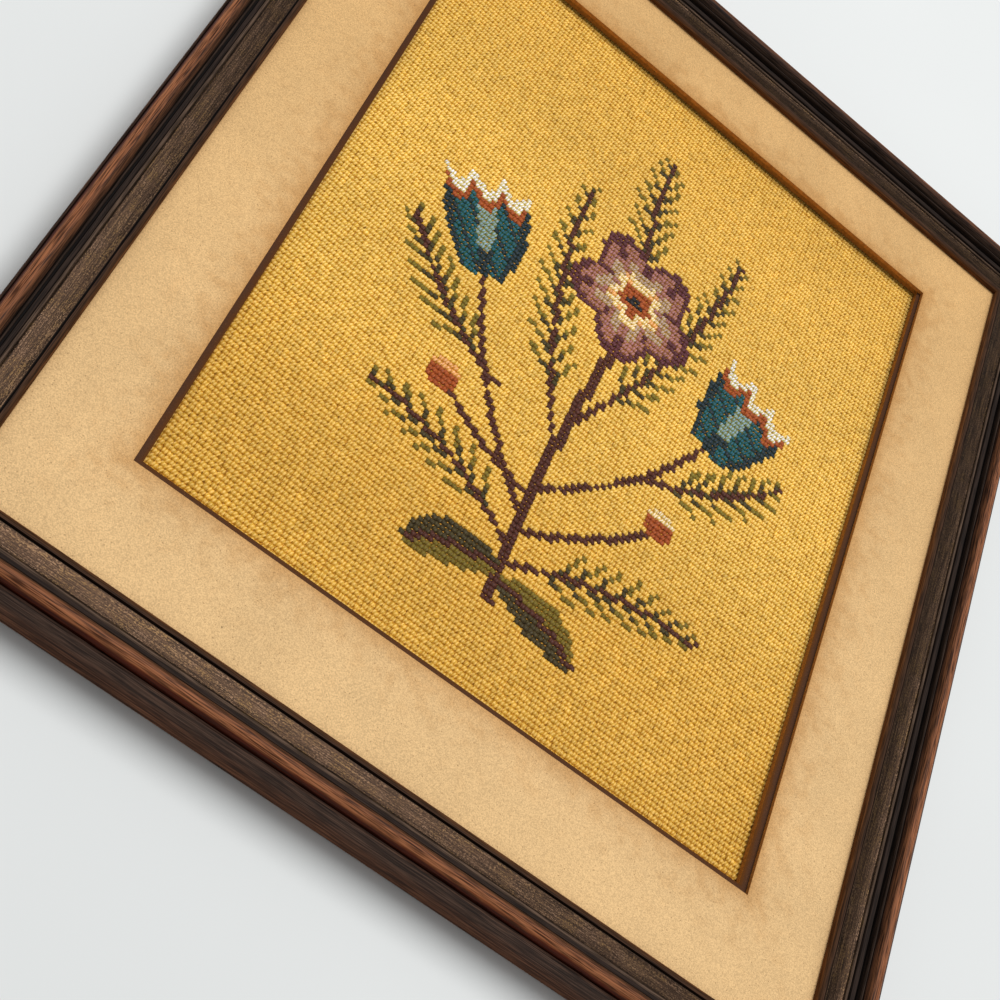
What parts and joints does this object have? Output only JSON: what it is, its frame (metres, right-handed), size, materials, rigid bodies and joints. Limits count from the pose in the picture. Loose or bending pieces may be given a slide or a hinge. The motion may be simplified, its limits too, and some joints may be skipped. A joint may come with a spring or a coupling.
{
  "type": "framed needlepoint picture with mitred wood frame and double window mat",
  "caption": "Tent-stitched wool canvas behind a tan window mat and a narrow dark inner mat, held in the rabbet of a dark beaded wood picture frame.",
  "frame": {"origin": "middle of the frame's back face, on the surface the picture lies on", "axes": "+Z out of the picture's face, +Y towards its upper edge, +X towards its right edge as the picture is seen"},
  "size_m": [0.3638, 0.4298, 0.0216],
  "materials": {
    "frame_wood": "dark stained moulding, satin, rubbed red-brown on the bead",
    "tan_board": "matt mat board, toned darker round its window",
    "dark_board": "matt dark brown mat board",
    "wool_stitches": "wool tent stitches on canvas",
    "grey_board": "plain backing board"
  },
  "bodies": {
    "root": {"rail_left": "frame_wood", "rail_right": "frame_wood", "rail_top": "frame_wood", "rail_bottom": "frame_wood", "mat_tan": "tan_board", "mat_inner": "dark_board", "needlepoint": "wool_stitches", "backing_board": "grey_board"}
  },
  "joints": []
}
